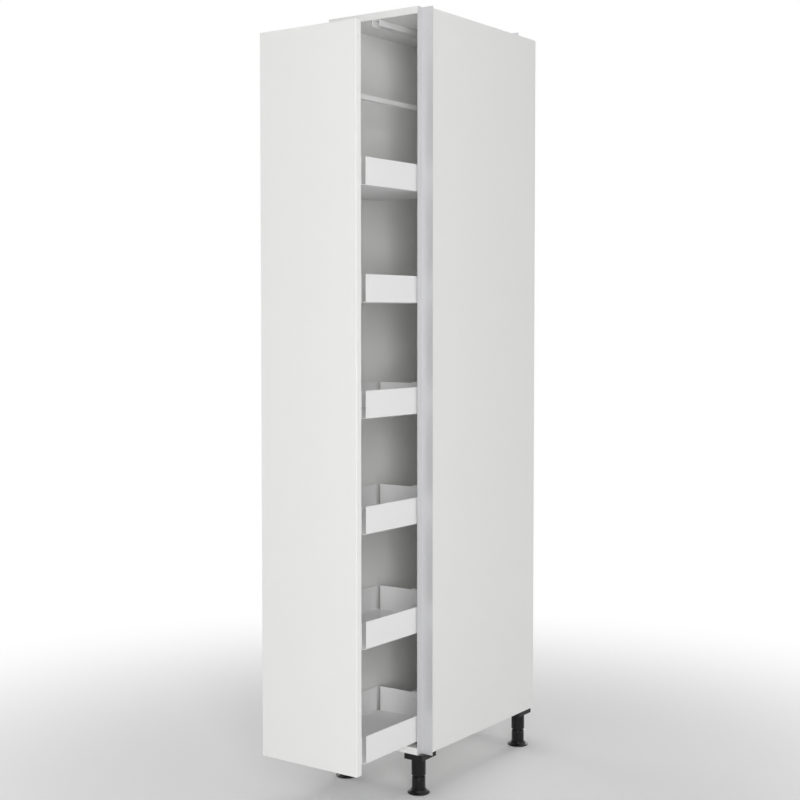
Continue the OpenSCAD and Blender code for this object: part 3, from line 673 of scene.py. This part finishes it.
def make_foot(name):
    """A levelling foot: its plate, the turned foot with its threaded spindle, and the sleeve that it
    screws into."""
    eased(f"foot_plate_{name}", 0.0006, "foot_black", "carcass")
    low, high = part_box(f"screw_foot_{name}")
    sleeve_low, sleeve_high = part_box(f"foot_sleeve_{name}")
    axis = Vector(((low.x + high.x) / 2, (low.y + high.y) / 2, 0))
    barrel_top = sleeve_low.z - FOOT_PLAY
    foot = turned(f"foot_turned_{name}", axis, foot_outline(barrel_top, high.z), 64)
    fitted(foot, "foot_black", f"foot_{name}", f"screw_foot_{name}")
    radius = (sleeve_high.x - sleeve_low.x) / 2
    inner = radius - SLEEVE_WALL
    bottom, top = sleeve_low.z, sleeve_high.z
    outline = [(inner, bottom)]
    outline += arc((radius - SLEEVE_LIP, bottom + SLEEVE_LIP), SLEEVE_LIP, -90, 0)
    outline += [(radius, top), (inner, top)]
    sleeve = turned(f"sleeve_turned_{name}", axis, outline, 64, closed=True)
    fitted(sleeve, "foot_black", "carcass", f"foot_sleeve_{name}")
    ridge = thread(f"thread_{name}", axis, barrel_top, high.z)
    fitted(ridge, "foot_black", f"foot_{name}", f"screw_foot_{name}")


def make_feet():
    for end in ("front", "rear"):
        for side in ("left", "right"):
            make_foot(f"{end}_{side}")


def thread(name, axis, bottom, top):
    """A helical ridge round the spindle."""
    root, crest, pitch, base, flat = 0.0141, 0.0152, 0.004, 0.0018, 0.0007
    turns = int((top - bottom - base) / pitch)
    outline = [(root, -base / 2), (crest, -flat / 2), (crest, flat / 2), (root, base / 2)]
    outline.append(outline[0])
    ridge = line(name, [Vector((radius, 0, height)) for radius, height in outline])
    edit(ridge, "VERT")
    bpy.ops.mesh.remove_doubles(threshold=MERGE)
    bpy.ops.mesh.edge_face_add()
    leave_edit()
    apply(ridge, "SCREW", angle=math.tau, screw_offset=pitch, iterations=turns, steps=32, render_steps=32,
          use_merge_vertices=False)
    ridge.location = axis + Vector((0, 0, bottom + base / 2))
    ridge = named(name)
    close_up(ridge)
    smooth(ridge)
    return ridge


# Larder pieces

def make_door():
    low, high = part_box("door")
    fitted(block("door_panel", low, high, DOOR_EDGE), "white_front", "larder", "door")


def make_posts():
    for name in ("front_post", "rear_post"):
        low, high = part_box(name)
        fitted(bar(f"{name}_tube", low, high, 2, TUBE_CORNER), "frame_coat", "larder", name)


def make_top_bar():
    """The tube and its two end plates, which meet it face to face."""
    low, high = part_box("top_bar")
    middle = (low + high) / 2
    plates = {
        "bar_plate_front": (low, Vector((high.x, low.y + BAR_PLATE, high.z))),
        "bar_plate_rear": (Vector((low.x, high.y - BAR_PLATE, low.z)), high),
    }
    for name, (plate_low, plate_high) in plates.items():
        fitted(bar(name, plate_low, plate_high, 1, ANGLE_SHEET), "frame_coat", "larder", "top_bar")
    tube_low = Vector((middle.x, low.y + BAR_PLATE, middle.z)) - BAR_TUBE_HALF
    tube_high = Vector((middle.x, high.y - BAR_PLATE, middle.z)) + BAR_TUBE_HALF
    fitted(bar("bar_tube", tube_low, tube_high, 1, BAR_CORNER), "frame_coat", "larder", "top_bar")


def make_angles():
    """Folded angles beside both posts' feet."""
    low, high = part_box("post_brackets")
    half = ANGLE_SHEET / 2
    for end in ("front", "rear"):
        post_low, post_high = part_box(f"{end}_post")
        for side, face, edge in (("left", post_low.x, low.x), ("right", post_high.x, high.x)):
            out = half if side == "right" else -half
            start = post_low.y + ANGLE_INSET
            points = [Vector((face + out, start, low.z + ANGLE_UPRIGHT)),
                      Vector((face + out, start, low.z + half)), Vector((edge, start, low.z + half))]
            way = Vector((0, post_high.y - post_low.y - 2 * ANGLE_INSET, 0))
            angle = folded(f"angle_{end}_{side}", points, way, ANGLE_SHEET, half)
            fitted(angle, "frame_coat", "larder", "post_brackets")


def tray_sheet(name, low, high):
    """A folded tray: a floor with four walls bent up, open at the corners."""
    half = TRAY_SHEET / 2
    bend = TRAY_BEND - half
    floor = low.z + half
    inset = Vector((TRAY_BEND, TRAY_BEND, 0))
    first, last = low + inset, high - inset
    size = last - first
    place = ((first.x + last.x) / 2, (first.y + last.y) / 2, floor)
    bpy.ops.mesh.primitive_plane_add(size=1, location=place)
    bpy.context.object.scale = (size.x, size.y, 1)
    piece = named(name)
    edit(piece)
    for axis in (0, 1):
        normal = Vector((axis == 0, axis == 1, 0))
        for at in (low[axis] + TRAY_CORNER_GAP, high[axis] - TRAY_CORNER_GAP):
            bpy.ops.mesh.select_all(action="SELECT")
            bpy.ops.mesh.bisect(plane_co=normal * at, plane_no=normal)
    for axis, at, turn in ((0, first.x, -1), (0, last.x, 1), (1, first.y, 1), (1, last.y, -1)):
        other = 1 - axis
        wall_low, wall_high = low[other] + TRAY_CORNER_GAP, high[other] - TRAY_CORNER_GAP

        def on_wall(start, end):
            on_side = abs(start[axis] - at) < CUT_EDGE and abs(end[axis] - at) < CUT_EDGE
            inside = wall_low < (start[other] + end[other]) / 2 < wall_high
            return on_side and inside and start.z < floor + CUT_EDGE

        select_edges(piece, on_wall)
        centre = Vector((0, 0, floor + bend))
        centre[axis] = at
        turn_axis = Vector((axis == 1, axis == 0, 0))
        bpy.ops.mesh.spin(steps=5, angle=turn * math.pi / 2, center=centre, axis=turn_axis)
        bpy.ops.mesh.extrude_region_move(TRANSFORM_OT_translate={"value": (0, 0, high.z - floor - bend)})
    bpy.ops.mesh.select_all(action="SELECT")
    bpy.ops.mesh.remove_doubles(threshold=MERGE)
    bpy.ops.mesh.normals_make_consistent(inside=False)
    leave_edit()
    thicken(piece, TRAY_SHEET)
    return piece


def make_trays():
    """Equal trays: one is folded and the others are copies of it."""
    first_low, first_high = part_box("tray_1")
    trays = [tray_sheet("tray_folded_1", first_low, first_high)]
    for number in range(2, TRAYS + 1):
        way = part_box(f"tray_{number}")[0] - first_low
        trays.append(copy_moved(trays[0], f"tray_folded_{number}", way))
    for number, tray in enumerate(trays, 1):
        fitted(tray, "tray_coat", "larder", f"tray_{number}")


def make_hooks():
    """Folded hooks that hold the trays' walls and reach over to the posts, one at each end of each tray."""
    top_low, top_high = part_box("tray_1")
    pitch = top_low.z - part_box("tray_2")[0].z
    middle = (top_low.x + top_high.x) / 2
    half = HOOK_SHEET / 2
    ends = {
        "hooks_front": (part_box("front_post")[1].y, top_low.y + TRAY_SHEET + HOOK_SHEET),
        "hooks_rear": (top_high.y - TRAY_SHEET - HOOK_SHEET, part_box("rear_post")[0].y),
    }
    for name, (start, end) in ends.items():
        x = middle - HOOK_WIDTH / 2
        foot, crown = top_high.z - HOOK_DROP, top_high.z + HOOK_BEND - half
        points = [Vector((x, start + half, foot)), Vector((x, start + half, crown)),
                  Vector((x, end - half, crown)), Vector((x, end - half, foot))]
        hook = folded(name, points, Vector((HOOK_WIDTH, 0, 0)), HOOK_SHEET, HOOK_BEND - half)
        apply(hook, "ARRAY", count=TRAYS, use_relative_offset=False, use_constant_offset=True,
              constant_offset_displace=(0, 0, -pitch))
        fitted(hook, "tray_coat", "larder", "tray_hangers")


def make_rollers():
    """Guide rollers: a tread with round edges, a recessed face and a hub."""
    for end in ("front", "rear"):
        low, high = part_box(f"guide_roller_{end}")
        axis = Vector(((low.x + high.x) / 2, (low.y + high.y) / 2, low.z))
        radius, height = (high.x - low.x) / 2, high.z - low.z
        bore, hub, rim, recess = 0.0031, 0.0055, 0.008, 0.001
        outline = [(bore, 0), (hub, 0), (hub, recess), (rim, recess), (rim, 0)]
        outline += arc((radius - ROLLER_EDGE, ROLLER_EDGE), ROLLER_EDGE, -90, 0, 4)
        outline += arc((radius - ROLLER_EDGE, height - ROLLER_EDGE), ROLLER_EDGE, 0, 90, 4)
        outline += [(rim, height), (rim, height - recess), (hub, height - recess), (hub, height)]
        outline.append((bore, height))
        roller = turned(f"roller_turned_{end}", axis, outline, 48, closed=True)
        fitted(roller, "guide_white", f"roller_{end}", f"guide_roller_{end}")


# Fasteners and small fittings

def head_outline(kind, radius):
    """Outline of a screw's head from its shank out and back in to the axis, its seat at height 0."""
    if kind == "dome":
        crown = [(x, 0.3 * DOME_HEAD + z) for x, z in ellipse(radius, 0.7 * DOME_HEAD, 0, 72, 4)]
        return [(SCREW_SHANK, 0), (radius - 2 * RIM, 0), (radius, 3 * RIM), *crown, (0, DOME_HEAD)]
    if kind == "flat":
        edge = FLAT_HEAD / 2
        rounded = arc((radius - edge, edge), edge, 0, 90)
        return [(SCREW_SHANK, 0), (radius - RIM, 0), (radius, RIM), *rounded, (0, FLAT_HEAD)]
    return [(SCREW_SHANK, -SUNK_HEAD), (radius - RIM, -2 * RIM), (radius - RIM, 0), (0, 0)]


def screw(kind, radius, length):
    """A screw that stands on its tip at the origin: a turned shank and head with a cross recess."""
    head = {"dome": DOME_HEAD, "flat": FLAT_HEAD, "sunk": 0.0}[kind]
    seat = length - head
    outline = [(0, 0), (SCREW_SHANK * 0.4, SCREW_POINT), (SCREW_SHANK, SCREW_TAPER)]
    outline += [(r, seat + z) for r, z in head_outline(kind, radius)]
    piece = turned("screw_turned", Vector((0, 0, 0)), outline, 24)
    across, depth = radius * 1.05, 2 * RECESS_DEPTH
    for size in (Vector((across, RECESS_WIDTH, depth)), Vector((RECESS_WIDTH, across, depth))):
        bpy.ops.mesh.primitive_cube_add(size=1, location=(0, 0, length), scale=size)
        cutter = named("recess")
        apply(piece, "BOOLEAN", operation="DIFFERENCE", solver="EXACT", object=cutter)
        bpy.data.objects.remove(cutter)
    smooth(piece)
    return piece


def make_screws(node, kind, slot, body):
    """Models each length of a node's screws once and copies it to its places."""
    models, copies = {}, []
    for low, high, points in solids(node):
        place, way, radius, length = fastener(low, high, points)
        key = round(length, 4)
        if key not in models:
            models[key] = screw(kind, radius, length)
        copies.append(place_copy(models[key], f"{node}_{len(copies)}", place, way))
    for model in models.values():
        bpy.data.objects.remove(model)
    fitted(joined(f"{node}_driven", copies), slot, body, node)


def make_all_screws():
    kinds = {
        "grip_screws": ("sunk", "carcass"),
        "wall_bracket_screws": ("dome", "carcass"),
        "guide_rail_screws": ("flat", "carcass"),
        "slide_screws": ("flat", "carcass"),
        "foot_plate_screws": ("flat", "carcass"),
        "carriage_screws": ("sunk", "larder"),
        "frame_screws": ("dome", "larder"),
        "hanger_screws": ("dome", "larder"),
        "door_screws": ("dome", "larder"),
    }
    for node, (kind, body) in kinds.items():
        make_screws(node, kind, "zinc", body)


def rivet(radius, length):
    """A rivet that stands at the origin: a flattened head below and a domed one above."""
    back, seat = radius * 5 / 6, length - RIVET_HEAD
    outline = [(0, 0), (back - RIVET_EDGE, 0), (back, RIVET_EDGE), (back, RIVET_HEAD)]
    outline += [(RIVET_PIN, RIVET_HEAD), (RIVET_PIN, seat), (radius, seat)]
    outline += [(x, seat + z) for x, z in ellipse(radius, RIVET_HEAD, 20, 80, 3)]
    return turned("rivet_turned", Vector((0, 0, 0)), outline + [(0, length)], 24)


def make_rivets():
    """Rivets through the trays' walls. One is modelled and the others are copies of it."""
    copies, model = [], None
    for low, high, points in solids("tray_rivets"):
        place, way, radius, length = fastener(low, high, points)
        if not model:
            model = rivet(radius, length)
        copies.append(place_copy(model, f"rivet_{len(copies)}", place, way))
    bpy.data.objects.remove(model)
    fitted(joined("tray_rivets_set", copies), "tray_coat", "larder", "tray_rivets")


def make_buffers():
    """Soft buffers behind the front, with round rims."""
    low, high, _ = solids("door_buffers")[0]
    radius, height = (high.x - low.x) / 2, high.y - low.y
    edge = height / 2
    outline = [(0, 0), (radius, 0), *arc((radius - edge, height - edge), edge, 0, 90), (0, height)]
    model = turned("buffer_turned", Vector((0, 0, 0)), outline, 32)
    copies = []
    for at, to, _ in solids("door_buffers"):
        place = Vector(((at.x + to.x) / 2, at.y, (at.z + to.z) / 2))
        copies.append(place_copy(model, f"buffer_{len(copies)}", place, Vector((0, 1, 0))))
    bpy.data.objects.remove(model)
    fitted(joined("door_buffers_set", copies), "buffer", "larder", "door_buffers")


def make_rail():
    """The top guide rail: a rolled channel, open downwards."""
    low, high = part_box("guide_rail")
    half = RAIL_SHEET / 2
    top = high.z - half
    points = [Vector((low.x + half, low.y, low.z)), Vector((low.x + half, low.y, top)),
              Vector((high.x - half, low.y, top)), Vector((high.x - half, low.y, low.z))]
    rail = folded("guide_rail_rolled", points, Vector((0, high.y - low.y, 0)), RAIL_SHEET, RAIL_BEND - half)
    fitted(rail, "frame_coat", "carcass", "guide_rail")


def ease_fittings():
    """Rounds the sharp edges of the fittings whose CAD shape is otherwise right."""
    for node, radius, slot, body in (
            ("grip_profile", 0.0003, "profile", "carcass"),
            ("wall_brackets", 0.0004, "zinc", "carcass"),
            ("carriage_plate", 0.0003, "frame_coat", "larder"),
            ("door_brackets", 0.0004, "frame_coat", "larder"),
            ("front_post_cap", 0.0008, "guide_white", "larder"),
            ("guide_carriage", 0.0006, "guide_white", "larder"),
            ("guide_axles", 0.0003, "zinc", "larder"),
            ("board_dowels", 0.0008, "beech", "carcass")):
        eased(node, radius, slot, body)


# Stage

def make_floor():
    """A pale floor that keeps the shadow and fades into the white surroundings."""
    bpy.ops.mesh.primitive_plane_add(size=FLOOR_SIZE, location=(0, 0, 0))
    floor = named("floor")
    material = bpy.data.materials.new("floor_pale")
    material.use_nodes = True
    tree = material.node_tree
    shader = tree.nodes["Principled BSDF"]
    shader.inputs["Base Color"].default_value = (0.9, 0.9, 0.9, 1)
    shader.inputs["Roughness"].default_value = 0.9
    shader.inputs["Specular IOR Level"].default_value = 0.0
    glow = tree.nodes.new("ShaderNodeEmission")
    mix = tree.nodes.new("ShaderNodeMixShader")
    length = tree.nodes.new("ShaderNodeVectorMath")
    length.operation = "LENGTH"
    tree.links.new(object_coordinates(tree), length.inputs[0])
    fade = tree.nodes.new("ShaderNodeMapRange")
    fade.interpolation_type = "SMOOTHSTEP"
    fade.inputs["From Min"].default_value = FADE_FROM
    fade.inputs["From Max"].default_value = FADE_TO
    tree.links.new(length.outputs["Value"], fade.inputs["Value"])
    seen = seen_ray(tree)
    tree.links.new(add_math(tree, "MULTIPLY", fade.outputs["Result"], seen), mix.inputs["Fac"])
    tree.links.new(shader.outputs["BSDF"], mix.inputs[1])
    tree.links.new(glow.outputs["Emission"], mix.inputs[2])
    tree.links.new(mix.outputs["Shader"], tree.nodes["Material Output"].inputs["Surface"])
    floor.data.materials.append(material)


def seen_ray(tree):
    """1 for rays that the camera, a reflection or glass sends out, 0 for the rest."""
    path = tree.nodes.new("ShaderNodeLightPath")
    seen = add_math(tree, "MAXIMUM", path.outputs["Is Camera Ray"], path.outputs["Is Glossy Ray"])
    return add_math(tree, "MAXIMUM", seen, path.outputs["Is Transmission Ray"])


def make_world():
    """White to the camera and in reflections, and a plain soft light otherwise."""
    world = bpy.data.worlds.new("surroundings")
    bpy.context.scene.world = world
    world.use_nodes = True
    tree = world.node_tree
    background = tree.nodes["Background"]
    background.inputs["Color"].default_value = (1, 1, 1, 1)
    strength = add_math(tree, "MULTIPLY_ADD", seen_ray(tree), WHITE - AMBIENT, AMBIENT)
    tree.links.new(strength, background.inputs["Strength"])


def make_lamp(name, place, width, height, watts):
    """A soft lamp that faces the middle of the unit."""
    middle = Vector((0, 0, 1.0))
    bpy.ops.object.light_add(type="AREA", location=place)
    lamp = bpy.context.object
    lamp.name = name
    lamp.data.shape = "RECTANGLE"
    lamp.data.size, lamp.data.size_y = width, height
    lamp.data.energy = watts
    lamp.rotation_euler = (middle - place).to_track_quat("-Z", "Y").to_euler()


def make_lamps():
    """A broad lamp beside the camera, and weaker ones for the left, the back and the top."""
    make_lamp("lamp_front", Vector((3.15, -3.7, 1.5)), width=1.5, height=2.8, watts=119)
    make_lamp("lamp_left", Vector((-4.6, 0.6, 2.0)), width=2.0, height=2.0, watts=40)
    make_lamp("lamp_back", Vector((-0.8, 4.8, 2.2)), width=2.0, height=2.0, watts=40)
    make_lamp("lamp_top", Vector((0.2, -0.4, 4.6)), width=2.5, height=2.5, watts=28)


def make_camera():
    bpy.ops.object.camera_add(location=CAMERA_PLACE, rotation=(math.pi / 2 - CAMERA_PITCH, 0, CAMERA_YAW))
    camera = bpy.context.object
    camera.data.sensor_width = SENSOR
    camera.data.lens = FOCAL_PIXELS / IMAGE_SIDE * SENSOR
    camera.data.shift_y = -HORIZON_SHIFT / IMAGE_SIDE
    bpy.context.scene.camera = camera


finish_cad_nodes()
make_edge_bands()
make_runners()
ball_cage("ball_cages_outer", "cages_outer", "slide_middle")
ball_cage("ball_cages_inner", "cages_inner", "slide_inner")
make_feet()
make_door()
make_posts()
make_top_bar()
make_angles()
make_trays()
make_hooks()
make_rollers()
make_all_screws()
make_rivets()
make_buffers()
make_rail()
ease_fittings()
make_floor()
make_world()
make_lamps()
make_camera()
bpy.context.scene.view_settings.view_transform = "Standard"
